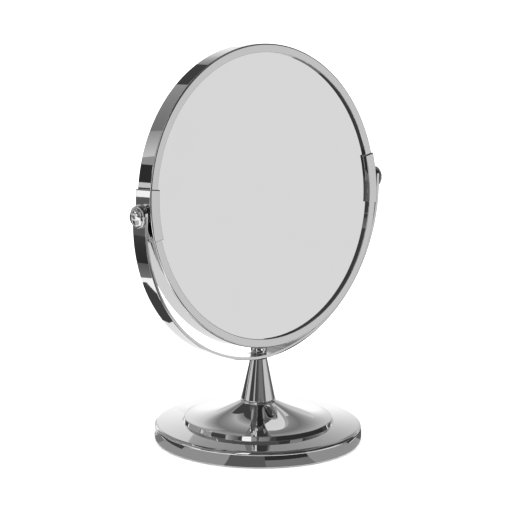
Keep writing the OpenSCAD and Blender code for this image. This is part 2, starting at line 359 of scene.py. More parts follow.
class Board:
    """The nodes of one material: a Principled shader, object coordinates, and what feeds them."""

    def __init__(self, name: str) -> None:
        """Makes a material with this name and an unset Principled shader."""
        self.material = bpy.data.materials.new(name)
        self.material.use_nodes = True
        self.material.node_tree.nodes.clear()
        self.shader = self.add("ShaderNodeBsdfPrincipled", {}, {})
        self.add("ShaderNodeOutputMaterial", {}, {"Surface": Wire(self, self.shader.outputs[0])})
        self.place = Wire(self, self.add("ShaderNodeTexCoord", {}, {}).outputs["Object"])

    def add(
        self, kind: str, settings: Mapping[str, object], sockets: Mapping[Union[int, str], Value]
    ) -> bpy.types.Node:
        """Adds a node.

        Args:
            kind: The node's type.
            settings: Its properties, set first. The setting "stops" fills a colour ramp.
            sockets: Values or wires for its inputs, by number or name.

        Returns:
            The node.
        """
        node = self.material.node_tree.nodes.new(kind)
        for key, value in settings.items():
            if key == "stops":
                self._fill_ramp(node.color_ramp, value)
            else:
                setattr(node, key, value)
        for key, value in sockets.items():
            if isinstance(value, Wire):
                self.material.node_tree.links.new(value.socket, node.inputs[key])
            else:
                node.inputs[key].default_value = value
        return node

    @staticmethod
    def _fill_ramp(ramp: bpy.types.ColorRamp, stops: Sequence[tuple[float, float]]) -> None:
        """Gives a ramp its stops, each a position and a grey level."""
        while len(ramp.elements) < len(stops):
            ramp.elements.new(1.0)
        for element, (position, level) in zip(ramp.elements, stops):
            element.position = position
            element.color = (level, level, level, 1)

    def clouds(self, size: float, detail: float = 3.0) -> Wire:
        """Soft noise from 0 to 1 with features of about this size, in metres."""
        sockets = {"Vector": self.place, "Scale": 1 / size, "Detail": detail}
        return Wire(self, self.add("ShaderNodeTexNoise", {}, sockets).outputs[0])

    def cells(self, size: float) -> Wire:
        """Distance to the nearest of many scattered points about this far apart, from 0 to about 1."""
        node = self.add("ShaderNodeTexVoronoi", {}, {"Vector": self.place, "Scale": 1 / size})
        return Wire(self, node.outputs["Distance"])

    def ramp(self, factor: Wire, stops: Sequence[tuple[float, float]]) -> Wire:
        """Maps a number through a ramp of grey levels."""
        return Wire(self, self.add("ShaderNodeValToRGB", {"stops": stops}, {0: factor}).outputs[0])

    def blend(self, factor: Wire, first: Sequence[float], second: Sequence[float]) -> Wire:
        """Mixes two colours by a number from 0 to 1."""
        node = self.add("ShaderNodeMix", {"data_type": "RGBA"}, {0: factor, 6: (*first, 1), 7: (*second, 1)})
        return Wire(self, node.outputs[2])

    def relief(self, height: Wire, depth: float) -> Wire:
        """Turns a height from 0 to 1 into a bumped normal, with this many metres from lowest to highest."""
        node = self.add("ShaderNodeBump", {}, {"Height": height, "Distance": depth, "Strength": 1.0})
        return Wire(self, node.outputs[0])

    def dress(self, **sockets: Value) -> Material:
        """Sets the shader's sockets, spelt with _ for a space, and returns the material."""
        for key, value in sockets.items():
            socket = self.shader.inputs[key.replace("_", " ").title().replace("Ior", "IOR")]
            if isinstance(value, Wire):
                self.material.node_tree.links.new(value.socket, socket)
            else:
                socket.default_value = value
        return self.material


@dataclass(frozen=True)
class Chrome:
    """Polished chrome plate: a mirror with a breath of haze and the slight ripple of the metal under it.

    Args:
        name: Name of the material.
        ripple: Height of the ripple in the metal, in metres.
        ripple_size: Length of the ripple, in metres.
        gloss: Roughness where the plate is cleanest.
        haze: How much rougher it gets where it has been handled.
        shine: Colour of the light that it returns.
    """

    name: str
    ripple: float = 1.5e-6
    ripple_size: float = 14 * MM
    gloss: float = 0.025
    haze: float = 0.05
    shine: tuple[float, float, float] = (0.7, 0.7, 0.705)

    def material(self) -> Material:
        """Builds the material."""
        board = Board(self.name)
        handled = board.ramp(board.clouds(30 * MM), [(0.45, 0), (0.75, 1)])
        mottle = board.clouds(2.5 * MM, 4)
        ripple = board.clouds(self.ripple_size, 1)
        return board.dress(
            base_color=(*self.shine, 1),
            metallic=1.0,
            roughness=self.gloss + self.haze * handled * mottle,
            normal=board.relief(ripple, self.ripple),
        )


@dataclass(frozen=True)
class Silvered:
    """Silvered glass: an almost perfect mirror with a trace of dust on it.

    Args:
        name: Name of the material.
        shine: Share of the light that it returns.
        dulling: How much less it returns under the film of dust.
    """

    name: str
    shine: float = 0.89
    dulling: float = 0.008

    def material(self) -> Material:
        """Builds the material."""
        board = Board(self.name)
        specks = board.ramp(board.cells(3.5 * MM), [(0.0, 1), (0.035, 0)])
        film = board.ramp(board.clouds(45 * MM), [(0.5, 0), (0.8, 1)])
        clean = (self.shine, self.shine + 0.003, self.shine)
        dull = self.shine - self.dulling
        dusty = (dull, dull + 0.002, dull)
        return board.dress(
            base_color=board.blend(film, clean, dusty),
            metallic=1.0,
            roughness=0.004 + 0.02 * film + 0.12 * specks,
            coat_weight=0.0,
        )


@dataclass(frozen=True)
class Plated:
    """A dull metal or plating with a fine grain.

    Args:
        name: Name of the material.
        light: Colour of the cleanest metal.
        dark: Colour where it has toned.
        roughness: Mean roughness.
        grain: Size of the grain, in metres.
        depth: Height of the grain, in metres.
    """

    name: str
    light: tuple[float, float, float]
    dark: tuple[float, float, float]
    roughness: float
    grain: float = 0.4 * MM
    depth: float = 4e-6

    def material(self) -> Material:
        """Builds the material."""
        board = Board(self.name)
        toned = board.clouds(6 * MM, 4)
        grain = board.clouds(self.grain, 3)
        return board.dress(
            base_color=board.blend(toned, self.light, self.dark),
            metallic=1.0,
            roughness=self.roughness - 0.1 + 0.2 * grain,
            normal=board.relief(grain, self.depth),
        )


@dataclass(frozen=True)
class Moulded:
    """Plastic, rubber, board, iron or lacquer: a solid colour with its own grain.

    Args:
        name: Name of the material.
        colour: Main colour.
        second: Colour that it drifts towards in patches.
        roughness: Mean roughness.
        grain: Size of the surface grain, in metres.
        depth: Height of the grain, in metres.
        coat: Weight of a clear coat.
    """

    name: str
    colour: tuple[float, float, float]
    second: tuple[float, float, float]
    roughness: float
    grain: float
    depth: float
    coat: float = 0.0

    def material(self) -> Material:
        """Builds the material."""
        board = Board(self.name)
        patches = board.clouds(12 * MM, 4)
        grain = board.clouds(self.grain, 4)
        return board.dress(
            base_color=board.blend(patches, self.colour, self.second),
            roughness=self.roughness - 0.08 + 0.16 * grain,
            coat_weight=self.coat,
            normal=board.relief(grain, self.depth),
        )


class Shelf:
    """The finishes of the mirror, one for each kind of surface, by the record's slot names."""

    def __init__(self) -> None:
        """Makes every material once."""
        white, black = (0.84, 0.84, 0.82), (0.028, 0.028, 0.03)
        finishes = (
            Chrome("base_chrome", ripple=5e-6, ripple_size=13 * MM),
            Chrome("stem_chrome", ripple=1.5e-6, ripple_size=9 * MM),
            Chrome("nut_chrome", ripple=0.8e-6, ripple_size=4 * MM, gloss=0.04),
            Chrome("yoke_chrome", ripple=3e-6, ripple_size=18 * MM),
            Chrome("rim_chrome", ripple=1.5e-6, ripple_size=20 * MM),
            Chrome("clip_chrome", ripple=2e-6, ripple_size=9 * MM),
            Chrome("knob_chrome", ripple=1e-6, ripple_size=4 * MM, gloss=0.04),
            Silvered("plane_mirror"),
            Silvered("magnifying_mirror", 0.6),
            Moulded("grey_card", (0.45, 0.42, 0.38), (0.38, 0.355, 0.32), 0.9, 0.9 * MM, 3e-5),
            Moulded("white_plastic", white, (0.8, 0.8, 0.775), 0.5, 0.5 * MM, 6e-6),
            Moulded("nylon", black, (0.036, 0.036, 0.037), 0.42, 0.5 * MM, 6e-6),
            Plated("brass", (0.8, 0.62, 0.3), (0.66, 0.49, 0.22), 0.32),
            Plated("zinc_steel", (0.66, 0.68, 0.7), (0.56, 0.57, 0.56), 0.36),
            Plated("spring_steel", (0.5, 0.5, 0.52), (0.38, 0.38, 0.41), 0.3),
            Moulded("cast_iron", (0.09, 0.09, 0.095), (0.05, 0.047, 0.045), 0.75, 1.6 * MM, 1.2e-4),
            Moulded("plate_steel", (0.022, 0.022, 0.024), black, 0.38, 1.8 * MM, 9e-6, 0.3),
            Moulded("pad_rubber", (0.05, 0.05, 0.053), (0.07, 0.07, 0.072), 0.85, 0.35 * MM, 5e-5),
        )
        self.finishes = {finish.name: finish for finish in finishes}
        self.materials: dict[str, Material] = {}

    def material(self, slot: str) -> Material:
        """The material of a slot, made when it is first asked for."""
        if slot not in self.materials:
            self.materials[slot] = self.finishes[slot].material()
        return self.materials[slot]

    def coat(self, obj: Object, slot: str) -> None:
        """Gives an object the slot's material and no other."""
        obj.data.materials.clear()
        obj.data.materials.append(self.material(slot))


@dataclass
class Assembly:
    """What every sub-assembly shares: a CAD body to ride on, and a shelf of finishes."""

    shelf: Shelf
    body: str
    pieces: list[Object] = field(default_factory=list)

    def fit(self, obj: Object, node: str, slot: str) -> Object:
        """Finishes a new piece.

        Args:
            obj: The modelled piece.
            node: The CAD node that it stands for.
            slot: The record's slot that gives its finish.

        Returns:
            The same piece, smooth, coated and riding on the body.
        """
        Bench.smooth(obj)
        self.shelf.coat(obj, slot)
        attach(obj, self.body)
        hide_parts(node)
        self.pieces.append(obj)
        return obj

    def build_ring(
        self, name: str, node: str, slot: str, bore: float, rounds: Sequence[float],
        faces: int = 96, steps: int = 6, margin: float = 0.1 * MM,
    ) -> None:
        """Builds a flat ring about the Z axis in the place of a CAD node.

        Args:
            name: Name of the ring.
            node: The CAD node, whose box gives its outer radius and its height.
            slot: The record's slot that gives its finish.
            bore: Radius of its hole.
            rounds: Rounding of its corners: lower inner, lower outer, upper outer, upper inner.
            faces: Number of faces round it.
            steps: Number of edges along each rounding.
            margin: How far the extra points stand from a rounding.
        """
        low, high, radius = Box.of(node).low.z, Box.of(node).high.z, Box.of(node).radius
        places = ((bore, low), (radius, low), (radius, high), (bore, high))
        corners = [Corner(u, v, rounding, steps) for (u, v), rounding in zip(places, rounds)]
        self.fit(Bench.turn(name, rounded(corners, margin), faces), node, slot)

    def keep(self, node: str, slot: str) -> None:
        """Keeps a CAD node as it is and gives it a better material."""
        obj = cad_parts[node]
        obj.data.materials.clear()
        obj.data.materials.append(self.shelf.material(slot))
        self.pieces.append(obj)


@dataclass
class Base(Assembly):
    """The weighted foot: a chromed shell over a cast weight, closed below by a plate and a rubber pad.

    Args:
        step_radius: Radius of the step ring at its foot.
        step_lean: How far the step ring leans inwards.
        step_foot: Height of the step ring's foot above the shoulder.
        step_height: Height of the step ring.
        shoulder: Radius of the rounded shoulder.
        side_height: Height of the straight side.
        flare_height: Height of the hollow flare from the step ring to the neck.
        flare_sag: How far the flare sags below a straight line.
        neck_radius: Radius of the neck.
        neck_round: Rounding on top of the neck.
        shell: Thickness of the shell.
        curl: How far the shell curls in at the bottom.
        bore: Radius of the hole for the tie rod.
        pad_width: Width of the rubber ring under the base.
        plate_hole: Radius of the hole in the closing plate, for the nut.
        nut_bore: Radius of the hole through the nut.
        nut_chamfer: Chamfer of the nut's corners.
    """

    step_radius: float = 45.5 * MM
    step_lean: float = 1.0 * MM
    step_foot: float = 1.3 * MM
    step_height: float = 2.85 * MM
    shoulder: float = 2.2 * MM
    side_height: float = 7.3 * MM
    flare_height: float = 9.8 * MM
    flare_sag: float = 1.9 * MM
    neck_radius: float = 10.7 * MM
    neck_round: float = 1.1 * MM
    shell: float = 1.0 * MM
    curl: float = 2.5 * MM
    bore: float = 3.2 * MM
    pad_width: float = 8 * MM
    plate_hole: float = 9 * MM
    nut_bore: float = 3.05 * MM
    nut_chamfer: float = 0.9 * MM

    def build(self) -> None:
        """Builds the shell, the pad, the plate and what the tie rod holds."""
        self.build_shell()
        pad_bore = Box.of("base_pad").radius - self.pad_width
        soft, turned = (0.4 * MM, 0.4 * MM, 0, 0), (0.25 * MM, 0.2 * MM, 0, 0)
        stamped = (0.2 * MM, 0.3 * MM, 0, 0)
        self.build_ring("rubber_foot_ring", "base_pad", "pad_rubber", pad_bore, soft, 192)
        self.build_ring("closing_plate", "base_plate", "plate_steel", self.plate_hole, turned, 160)
        self.build_ring("wide_washer", "rod_washer", "zinc_steel", self.bore, stamped)
        self.build_nut()
        self.build_rod()
        self.keep("base_weight", "cast_iron")

    def flare(self, foot_z: float) -> list[Corner]:
        """The hollow flare from the neck down to the top of the step ring, as corners."""
        top = Vector((self.neck_radius + 0.1 * MM, foot_z + self.flare_height - 0.2 * MM))
        foot = Vector((self.step_radius - self.step_lean, foot_z))
        steps = 40
        points = []
        for step in range(1, steps):
            share = step / steps
            point = top.lerp(foot, share)
            points.append(Corner(point.x, point.y - 4 * self.flare_sag * share * (1 - share)))
        return [Corner(top.x, top.y, 0.6 * MM), *points[2:], Corner(foot.x, foot.y, 0.45 * MM)]

    def build_shell(self) -> None:
        """The pressed shell: side, shoulder, step ring, flare and neck, with its inner wall."""
        box = Box.of("base_shell")
        side_top = box.low.z + self.side_height
        foot_z = side_top + self.shoulder + self.step_foot
        flare = self.flare(foot_z + self.step_height)
        outside = [
            Corner(self.bore, box.high.z),
            Corner(self.neck_radius, box.high.z, self.neck_round, 8),
            *flare,
            Corner(self.step_radius, foot_z, 0.35 * MM),
            Corner(box.radius, side_top + self.shoulder, self.shoulder, 12),
            Corner(box.radius, box.low.z, 0.4 * MM),
        ]
        inner_top, inner_shoulder = box.high.z - self.shell, self.shoulder - self.shell
        inside = [
            Corner(box.radius - self.curl, box.low.z, 0.3 * MM),
            Corner(box.radius - self.curl, box.low.z + self.shell, 0.2 * MM),
            Corner(box.radius - self.shell, box.low.z + self.shell),
            Corner(box.radius - self.shell, side_top + inner_shoulder, inner_shoulder),
            Corner(self.step_radius - self.shell, foot_z - self.shell),
            Corner(self.step_radius - self.step_lean - self.shell, foot_z + self.step_height - self.shell),
            *[Corner(c.u - self.shell, c.v - self.shell) for c in flare[-4:1:-4]],
            Corner(self.neck_radius - self.shell, inner_top - self.neck_round),
            Corner(self.neck_radius - self.shell - self.neck_round, inner_top),
            Corner(self.bore, inner_top),
        ]
        shell = Bench.turn("chromed_base_shell", rounded([*outside, *inside]), steps=256)
        self.fit(shell, "base_shell", "base_chrome")

    def build_nut(self) -> None:
        """The hexagon nut on the tie rod, chamfered above and below."""
        box = Box.of("rod_nut")
        low, high = box.low.z, box.high.z
        bpy.ops.object.select_all(action="DESELECT")
        bpy.ops.mesh.primitive_cylinder_add(
            vertices=6,
            radius=box.radius,
            depth=box.height,
            location=(0, 0, (low + high) / 2),
            rotation=(0, 0, math.radians(30)),
        )
        nut = Bench.named("hexagon_nut")
        Bench.close(nut)
        inner = box.radius * math.cos(math.radians(30)) - 0.1 * MM
        outer = inner + 2 * self.nut_chamfer
        foot, head = low + self.nut_chamfer, high - self.nut_chamfer
        cone = profile((0, low), (inner, low), (outer, foot), (outer, head), (inner, high), (0, high))
        Bench.combine(nut, Bench.turn("chamfer", cone), "INTERSECT")
        Bench.combine(nut, Bench.bar(self.nut_bore, Vector((0, 0, low - MM)), Vector((0, 0, high + MM))))
        Bench.bevel(nut, 0.12 * MM, 2)
        self.fit(nut, "rod_nut", "zinc_steel")

    def build_rod(self) -> None:
        """The tie rod, with thread grooves and a chamfer at its lower end."""
        box = Box.of("tie_rod")
        low, high, radius = box.low.z, box.high.z, box.radius
        pitch, depth, turns, chamfer = 1.0 * MM, 0.35 * MM, 8, 0.4 * MM
        points = [(0, low), (radius - depth, low)]
        for turn in range(turns):
            foot = low + pitch * (turn + 0.35)
            points += [(radius, foot), (radius, foot + 0.15 * pitch), (radius - depth, foot + 0.6 * pitch)]
        points += [(radius, low + pitch * (turns + 0.5)), (radius, high - chamfer), (radius - chamfer, high)]
        rod = Bench.turn("threaded_tie_rod", profile(*points, (0, high)), steps=48)
        self.fit(rod, "tie_rod", "zinc_steel")


@dataclass
class Stem(Assembly):
    """The conical stem and the stack on top of it that holds the yoke.

    Args:
        top_radius: Radius of the stem at its top.
        foot_round: Rounding of the stem's foot.
        bore: Radius of the hole through the stem.
        thread: Radius of the holes that the tie rod's thread fills.
    """

    top_radius: float = 5.1 * MM
    foot_round: float = 0.5 * MM
    bore: float = 3.2 * MM
    thread: float = 3.05 * MM

    def build(self) -> None:
        """Builds the stem, the two washers and the cap nut."""
        self.build_cone()
        fine = {"steps": 3, "margin": 0.02 * MM}
        for name, node, slot, edge in (
            ("friction_washer", "thrust_washer", "nylon", 0.1 * MM),
            ("lock_ring", "lock_washer", "spring_steel", 0.15 * MM),
        ):
            self.build_ring(name, node, slot, self.thread, (0, edge, edge, 0), **fine)
        self.build_cap_nut()

    def build_cone(self) -> None:
        """The stem: a straight cone with a rounded lip at its foot."""
        box = Box.of("stem")
        corners = [
            Corner(self.bore, box.low.z),
            Corner(box.radius, box.low.z, self.foot_round),
            Corner(self.top_radius, box.high.z, 0.25 * MM),
            Corner(self.bore, box.high.z),
        ]
        self.fit(Bench.turn("conical_stem", rounded(corners), steps=192), "stem", "stem_chrome")

    def build_cap_nut(self) -> None:
        """The round cap nut: slightly barrelled, with a soft upper edge, and closed on top."""
        box = Box.of("yoke_nut")
        depth, barrel = 3.3 * MM, 0.12 * MM
        corners = [
            Corner(0, box.high.z),
            Corner(box.radius - 2 * barrel, box.high.z, 1.3 * MM, 10),
            Corner(box.radius, box.low.z + 0.45 * box.height, 4 * MM, 8),
            Corner(box.radius - barrel, box.low.z, 0.6 * MM, 8),
            Corner(self.thread, box.low.z),
            Corner(self.thread, box.low.z + depth),
            Corner(0, box.low.z + depth),
        ]
        self.fit(Bench.turn("round_cap_nut", rounded(corners, 0.03 * MM)), "yoke_nut", "nut_chrome")


@dataclass
class Yoke(Assembly):
    """The U-shaped strip that carries the head, with a bush and a spring washer at each end.

    Args:
        pivot_height: Height of the pivots.
        thickness: Thickness of the strip.
        drop: How far the middle of the arc lies below the pivots.
        end_rise: How far the middle of each rounded end lies above the pivots.
        seat: Half the length of the flat seat under the cap nut.
        edge: Rounding of the strip's long edges.
        rod_hole: Radius of the hole for the tie rod.
        bush_hole: Radius of the hole for each bush.
    """

    pivot_height: float = 0.0
    thickness: float = 1.9 * MM
    drop: float = 4.3 * MM
    end_rise: float = 1.6 * MM
    seat: float = 5.5 * MM
    edge: float = 0.22 * MM
    rod_hole: float = 3.05 * MM
    bush_hole: float = 3.05 * MM

    def build(self) -> None:
        """Builds the strip, then the parts at each end."""
        self.build_strip()
        for side in Side:
            self.build_bush(side)
            self.build_spring_washer(side)

    def centre_line(self, box: Box) -> Outline:
        """The middle of the strip's thickness, from the top of the left arm round to that of the right."""
        radius = box.radius - self.thickness / 2
        arc_z = self.pivot_height - self.drop
        end_z = self.pivot_height + self.end_rise
        half_width = (box.high.y - box.low.y) / 2
        rows, steps = 14, 76
        heights = [end_z + half_width * math.cos(math.pi / 2 * row / rows) for row in range(rows)]
        arm = [*heights, end_z, self.pivot_height, arc_z + self.drop / 2]
        bottom = arc_z - radius
        curve = []
        for step in range(1, steps):
            angle = math.pi / 2 * step / steps
            x, z = -radius * math.cos(angle), arc_z - radius * math.sin(angle)
            near = max(0.0, min(1.0, (abs(x) - self.seat) / (0.6 * self.seat)))
            share = near * near * (3 - 2 * near)
            curve.append(Vector((x, 0, bottom + (z - bottom) * share)))
        left = profile(*((-radius, z) for z in [*arm, arc_z])) + curve
        right = [Vector((-p.x, 0, p.z)) for p in reversed(left)]
        return [*left, Vector((0, 0, bottom)), *right]

    def build_strip(self) -> None:
        """The strip: its line pulled out to the full width, rounded, thickened, edged and drilled."""
        box = Box.of("yoke")
        half_width = (box.high.y - box.low.y) / 2
        margin = 0.5 * MM
        line = [Vector((p.x, box.low.y, p.z)) for p in self.centre_line(box)]
        strip = Bench.trace("yoke_strip", line)
        Bench.edit(strip)
        for reach in (margin, 2 * half_width - 2 * margin, margin):
            bpy.ops.mesh.extrude_region_move(TRANSFORM_OT_translate={"value": (0, reach, 0)})
        end_z = self.pivot_height + self.end_rise
        for height in sorted({p.z for p in line if p.z > end_z + WELD}):
            Bench.choose(strip, lambda place, level=height: abs(place.z - level) < WELD)
            share = math.sqrt(max(0.0, half_width**2 - (height - end_z) ** 2)) / half_width
            bpy.ops.transform.resize(value=(1, share, 1), center_override=(0, 0, height))
        bpy.ops.mesh.select_all(action="SELECT")
        bpy.ops.mesh.remove_doubles(threshold=WELD)
        bpy.ops.mesh.normals_make_consistent(inside=False)
        Bench.close(strip)
        Bench.modify(strip, "SOLIDIFY", {"thickness": self.thickness, "offset": 0, "use_even_offset": True})
        Bench.bevel(strip, self.edge, 3, 60)
        self.drill(strip, box)
        self.fit(strip, "yoke", "yoke_chrome")

    def drill(self, strip: Object, box: Box) -> None:
        """Cuts the hole for the tie rod and the two for the bushes."""
        below, above = Vector((0, 0, box.low.z - MM)), Vector((0, 0, box.low.z + 2 * self.thickness))
        Bench.combine(strip, Bench.bar(self.rod_hole, below, above))
        for side in Side:
            inside = Vector((side.value * (box.radius - 2 * self.thickness), 0, self.pivot_height))
            outside = Vector((side.value * (box.radius + MM), 0, self.pivot_height))
            Bench.combine(strip, Bench.bar(self.bush_hole, inside, outside))

    def build_bush(self, side: Side) -> None:
        """A flanged bush, pushed into the arm from inside."""
        box = Box.of(f"{side.word}_pivot_bush")
        start, end = sorted((abs(box.low.x), abs(box.high.x)))
        flange_radius, flange, radius, bore = 4.8 * MM, 1.1 * MM, 3 * MM, 2.05 * MM
        corners = [
            Corner(bore, start, 0.15 * MM, 3),
            Corner(flange_radius, start, 0.2 * MM, 4),
            Corner(flange_radius, start + flange, 0.2 * MM, 4),
            Corner(radius, start + flange),
            Corner(radius, end, 0.15 * MM, 3),
            Corner(bore, end),
        ]
        bush = Bench.turn(f"{side.word}_flanged_bush", rounded(corners, 0.03 * MM), steps=64)
        Bench.place(bush, side.along_x(self.pivot_height))
        self.fit(bush, f"{side.word}_pivot_bush", "nylon")

    def build_spring_washer(self, side: Side) -> None:
        """A sprung ring, split at the top, between the arm and the knob."""
        box = Box.of(f"{side.word}_spring_washer")
        start, end = sorted((abs(box.low.x), abs(box.high.x)))
        radius, bore, split = 5 * MM, 2.05 * MM, math.radians(11)
        corners = [
            Corner(bore, start, 0.1 * MM, 3),
            Corner(radius, start, 0.15 * MM, 3),
            Corner(radius, end, 0.15 * MM, 3),
            Corner(bore, end, 0.1 * MM, 3),
        ]
        top = math.pi if side is Side.RIGHT else 0.0
        washer = Bench.turn(
            f"{side.word}_split_washer", rounded(corners, 0.03 * MM), 72, top + split / 2, FULL_TURN - split
        )
        Bench.place(washer, side.along_x(self.pivot_height))
        self.fit(washer, f"{side.word}_spring_washer", "spring_steel")


@dataclass
class Head(Assembly):
    """The turning head: two glasses back to back in a split rim that two clips hold together.

    Args:
        pivot_height: Height of the pivots.
        lean: How far the head leans back.
        depth: Depth of the rim from face to face.
        bezel: Width of the flat bezel.
        strip: Thickness of the rim strip.
        lip: Depth of the lip that runs down to the glass.
        slit: Gap between the halves of the rim.
        clip: Thickness of each clip.
        clip_length: Length of each clip round the rim.
        clearance: Air between the rim and what fits round it.
        glass: Thickness of each glass.
        hollow: Depth of the hollow in the magnifying glass.
        boss: Radius of the holes for the threaded bosses.
    """

    pivot_height: float = 0.0
    lean: float = math.radians(7)
    depth: float = 12.3 * MM
    bezel: float = 5.2 * MM
    strip: float = 0.8 * MM
    lip: float = 1.95 * MM
    slit: float = 0.3 * MM
    clip: float = 0.75 * MM
    clip_length: float = 31 * MM
    clearance: float = 0.05 * MM
    glass: float = 2.0 * MM
    hollow: float = 3.05 * MM
    boss: float = 3.05 * MM

    def build(self) -> None:
        """Builds the rim, the clips and the glasses, and dresses what they hide."""
        self.radius = Box.of("upper_rim").radius
        self.bezel_radius = self.radius - self.bezel
        self.face = self.depth / 2 - self.lip
        self.build_rim("upper", math.pi)
        self.build_rim("lower", 0.0)
        for side in Side:
            self.build_clip(side)
            self.keep(f"{side.word}_nut_plate", "brass")
        self.build_plane_glass()
        self.build_hollow_glass()
        self.keep("backing_card", "grey_card")
        self.keep("spacer_ring", "white_plastic")

    def placing(self) -> Matrix:
        """Takes a part that was turned about +Z to the head: its axis points back, leaning with the head."""
        return (
            Matrix.Translation((0, 0, self.pivot_height))
            @ Matrix.Rotation(-self.lean, 4, "X")
            @ Matrix.Rotation(-math.pi / 2, 4, "X")
        )

    def section(
        self, outer: float, inner: float, thick: float, half: float, end: float, edge: float
    ) -> Outline:
        """A C-shaped section: an outer wall, a flange on each face and a lip at each flange's inner edge.

        Args:
            outer: Outside radius.
            inner: Radius of the lips.
            thick: Thickness of the strip.
            half: Half the depth over the flanges.
            end: Depth at which the lips end.
            edge: Rounding of the outer corners.

        Returns:
            The section's outline.
        """
        rear = [
            Corner(outer, half, edge, 10),
            Corner(inner, half, 0.35 * MM, 8),
            Corner(inner, end),
            Corner(inner + thick, end),
            Corner(inner + thick, half - thick),
            Corner(outer - thick, half - thick),
        ]
        front = [Corner(c.u, -c.v, c.radius, c.steps) for c in reversed(rear)]
        return rounded([*rear, *front], 0.06 * MM)

    def bore(self, obj: Object, side: Side, outer: float) -> None:
        """Cuts the hole for one threaded boss, in a part that still lies flat round the Z axis."""
        inside = Vector((side.value * (outer - 2.5 * MM), 0, 0))
        Bench.combine(obj, Bench.bar(self.boss, inside, Vector((side.value * (outer + MM), 0, 0))))

    def build_rim(self, word: str, start: float) -> None:
        """One half of the rim, which stops just short of the middle line at both ends."""
        half = self.depth / 2
        section = self.section(self.radius, self.bezel_radius, self.strip, half, self.face, 0.8 * MM)
        trim = math.asin(self.slit / 2 / self.radius)
        rim = Bench.turn(f"{word}_rim_half", section, 200, start + trim, math.pi - 2 * trim)
        for side in Side:
            self.bore(rim, side, self.radius)
        Bench.place(rim, self.placing())
        self.fit(rim, f"{word}_rim", "rim_chrome")

    def build_clip(self, side: Side) -> None:
        """A clip that wraps the rim and both its lips over one joint, with softened ends."""
        outer = self.radius + self.clearance + self.clip
        half = self.clip_length / 2 / outer
        section = self.section(
            outer,
            self.bezel_radius - self.clearance - self.clip,
            self.clip,
            self.depth / 2 + self.clearance + self.clip,
            self.face + 0.15 * MM,
            0.9 * MM,
        )
        middle = 0.0 if side is Side.RIGHT else math.pi
        clip = Bench.turn(f"{side.word}_rim_clip", section, 40, middle - half, 2 * half)
        Bench.bevel(clip, 0.18 * MM, 2, 80)
        self.bore(clip, side, outer)
        Bench.place(clip, self.placing())
        self.fit(clip, f"{side.word}_clip", "clip_chrome")

    def glass_radius(self) -> float:
        """Radius of both glasses, which reach under the bezels."""
        return Box.of("front_glass").radius

    def build_plane_glass(self) -> None:
        """The flat glass on the front, with a ground edge."""
        radius, edge, front = self.glass_radius(), 0.3 * MM, -self.face
        back = front + self.glass
        face = profile((0, front), (radius / 2, front), (radius - edge, front))
        rest = profile((radius, front + edge), (radius, back), (0, back))
        glass = Bench.turn("plane_mirror_glass", face + rest, steps=192)
        Bench.place(glass, self.placing())
        self.fit(glass, "front_glass", "plane_mirror")

    def build_hollow_glass(self) -> None:
        """The hollow glass on the back: both faces follow the same curve."""
        radius, steps = self.glass_radius(), 60
        seat = self.bezel_radius + self.strip
        curve = []
        for step in range(steps + 1):
            out = radius * step / steps
            curve.append((out, self.face - self.clearance - self.hollow * (1 - (out / seat) ** 2)))
        back = [(u, v - self.glass) for u, v in reversed(curve)]
        glass = Bench.turn("magnifying_mirror_glass", profile(*curve, *back), steps=192)
        Bench.place(glass, self.placing())
        self.fit(glass, "rear_glass", "magnifying_mirror")


@dataclass
class Thumbscrew(Assembly):
    """A pivot screw with its domed knob.

    Args:
        side: The side it is on.
        pivot_height: Height of the pivots.
        flange: Thickness of the knob's flange.
        dome: Diameter of the dome.
        length: Length of the knob up to the top of its dome.
        ball: Diameter of the ball on the end.
        bore: Radius of the hole for the screw.
    """

    side: Side = Side.LEFT
    pivot_height: float = 0.0
    flange: float = 1.3 * MM
    dome: float = 11.2 * MM
    length: float = 3.7 * MM
    ball: float = 2.9 * MM
    bore: float = 2.05 * MM

    def build(self) -> None:
        """Builds the knob and dresses the screw."""
        self.build_knob()
        self.keep(f"{self.side.word}_pivot_screw", "zinc_steel")

    def build_knob(self) -> None:
        """The knob: a flange with a full round edge, a dome, and a small ball on its end."""
        box = Box.of(f"{self.side.word}_knob")
        start, tip = sorted((abs(box.low.x), abs(box.high.x)))
        radius = (box.high.y - box.low.y) / 2
        ball_radius, ball_x = self.ball / 2, tip - self.ball / 2
        screw_end = Box.of(f"{self.side.word}_pivot_screw")
        floor = max(abs(screw_end.low.x), abs(screw_end.high.x)) + 0.05 * MM
        rise = self.length - self.flange
        edge = self.flange / 2
        meet = math.acos((ball_radius + 0.25 * MM) / (self.dome / 2))
        foot = start + self.flange
        dome_steps = 20
        dome = []
        for step in range(dome_steps + 1):
            angle = meet * step / dome_steps
            dome.append((self.dome / 2 * math.cos(angle), foot + rise * math.sin(angle)))
        points = [
            *profile((0, floor), (self.bore, floor), (self.bore, start), (radius - edge - 0.1 * MM, start)),
            *arc((radius - edge, start + edge), edge, -90, 90, 16),
            *profile((self.dome / 2 + 0.12 * MM, foot), *dome),
            *arc((0, ball_x), ball_radius, 8, 90, 18),
        ]
        knob = Bench.turn(f"{self.side.word}_domed_knob", points, steps=96)
        Bench.place(knob, self.side.along_x(self.pivot_height))
        self.fit(knob, f"{self.side.word}_knob", "knob_chrome")


class Tone(Enum):
    """How bright a card of the studio is."""

    BLACK = 0.035
    DARK = 0.065
    DIM = 0.13
    GREY = 0.23
    MID = 0.38
    PALE = 0.56
    LIGHT = 0.76
    BRIGHT = 0.98
    WHITE = 1.25


class Fade(Enum):
    """Which way a card changes from its first tone to its second."""

    ALONG = "from its start to its end"
    ACROSS = "from its near edge to its far edge"


